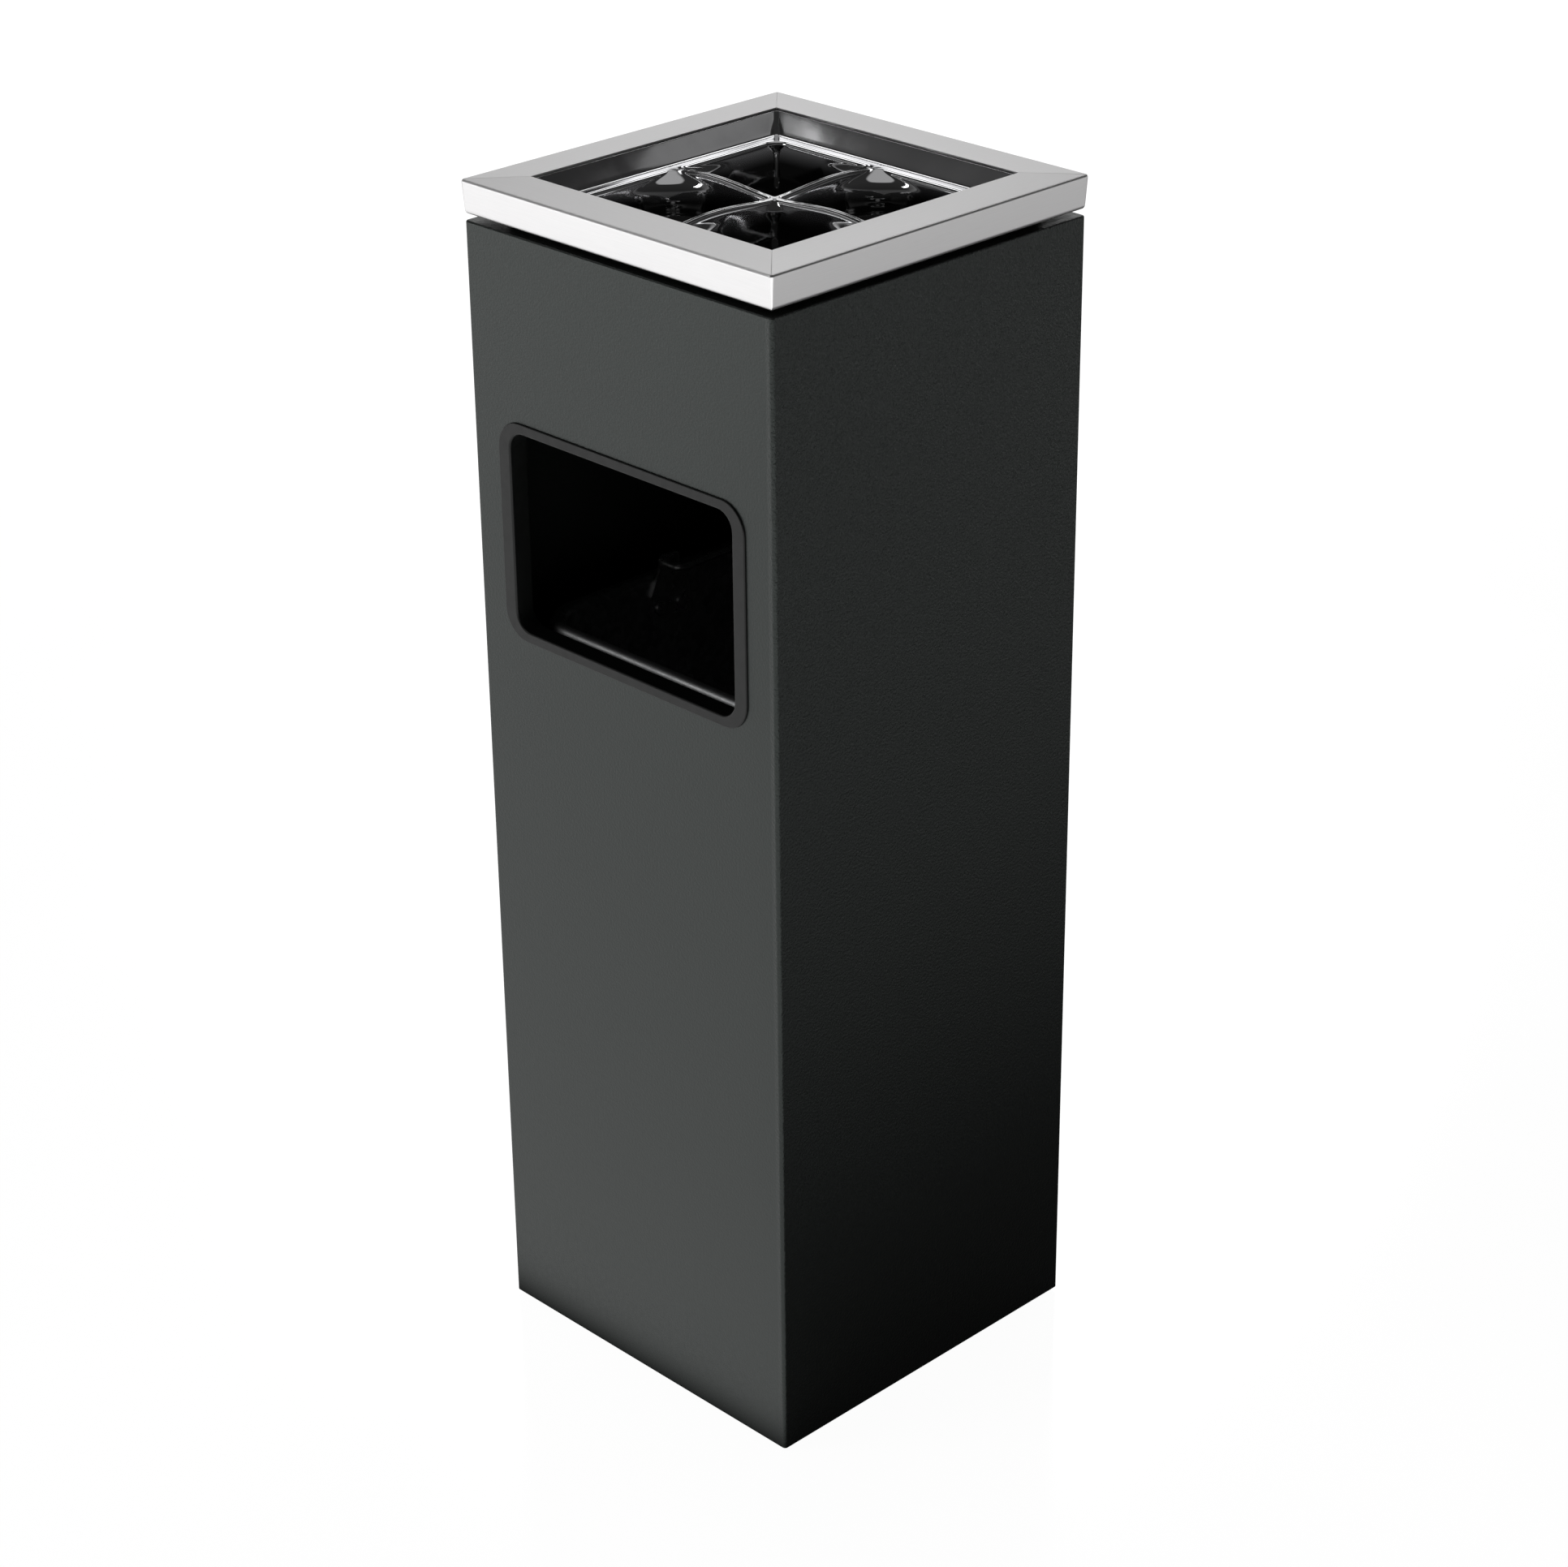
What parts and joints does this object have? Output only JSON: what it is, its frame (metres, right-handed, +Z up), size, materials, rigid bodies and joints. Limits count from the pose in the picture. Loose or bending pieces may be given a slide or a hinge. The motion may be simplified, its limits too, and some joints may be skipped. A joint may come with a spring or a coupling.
{
  "type": "ashtray bin",
  "caption": "Square free-standing litter bin with a lift-off stainless ashtray on top, a framed waste opening in the front and a lift-out galvanised bucket inside.",
  "frame": {"origin": "on the floor, at the middle of the bin's square footprint", "axes": "+Z up; -Y is the front, with the waste opening; +X is to the right seen from the front"},
  "size_m": [0.2018, 0.2019, 0.6027],
  "materials": {
    "black_powder_coat": "fine orange-peel powder coat, semi-gloss",
    "black_plastic": "smooth moulded, low sheen",
    "satin_steel": "satin, brushed along each side",
    "mirror_steel": "mirror polished, pressed",
    "galvanised_steel": "galvanised, dull with a faint spangle",
    "zinc_plate": "bright zinc plated",
    "black_rubber": "matt moulded"
  },
  "bodies": {
    "cabinet": {"body_shell": "black_powder_coat", "base_plate": "black_powder_coat", "opening_trim": "black_plastic", "foot_front_left": "black_rubber", "foot_front_right": "black_rubber", "foot_rear_left": "black_rubber", "foot_rear_right": "black_rubber", "foot_screws": "zinc_plate", "foot_washers": "zinc_plate", "foot_nuts": "zinc_plate"},
    "ashtray": {"rim_frame": "satin_steel", "ash_dish": "mirror_steel", "seat_collar": "black_powder_coat"},
    "bucket": {"bucket_wall": "galvanised_steel", "bucket_bottom": "galvanised_steel", "bucket_rim_wire": "galvanised_steel", "bail_ear_left": "zinc_plate", "bail_ear_right": "zinc_plate", "ear_rivets": "zinc_plate"},
    "bail": {"bail_handle": "zinc_plate"}
  },
  "joints": [
    {"name": "ashtray_lift", "type": "slide", "parent": "cabinet", "child": "ashtray", "axis": [0, 0, 1], "range_m": [0, 0.8]},
    {"name": "bucket_lift", "type": "slide", "parent": "cabinet", "child": "bucket", "axis": [0, 0, 1], "range_m": [0, 0.6]},
    {"name": "bail_swing", "type": "hinge", "parent": "bucket", "child": "bail", "pos_m": [0, 0, 0.3891], "axis": [1, 0, 0], "range_deg": [0, 180]}
  ],
  "couplings": [
    {"joint": "bucket_lift", "follows": "ashtray_lift", "ratio": 0.75}
  ]
}
